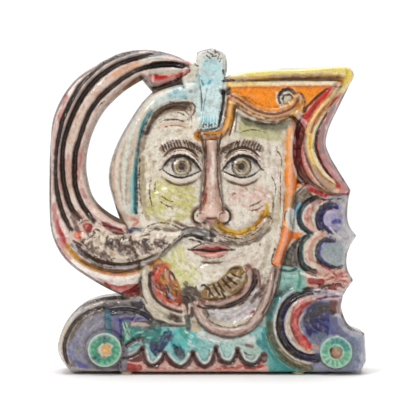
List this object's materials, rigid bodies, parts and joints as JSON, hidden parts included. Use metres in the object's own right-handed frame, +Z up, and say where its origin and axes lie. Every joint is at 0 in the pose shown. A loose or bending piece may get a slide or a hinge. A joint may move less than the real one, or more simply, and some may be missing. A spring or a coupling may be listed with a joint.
{
  "type": "majolica relief plaque",
  "caption": "Cut-out high relief of a plumed, helmeted and moustached knight's head on a low shoulder base, tin-glazed earthenware on small bumper pads.",
  "frame": {"origin": "on the standing surface, below the middle of the object's box", "axes": "+Z up, the relief faces -Y, its flat back faces +Y, +X to the right as the relief is looked at"},
  "size_m": [0.3198, 0.071, 0.328],
  "materials": {
    "glaze": "gloss",
    "pad": "satin"
  },
  "bodies": {
    "root": {"relief_plaque": "glaze", "pad_front_left": "pad", "pad_front_right": "pad", "pad_back_left": "pad", "pad_back_right": "pad"}
  },
  "joints": []
}
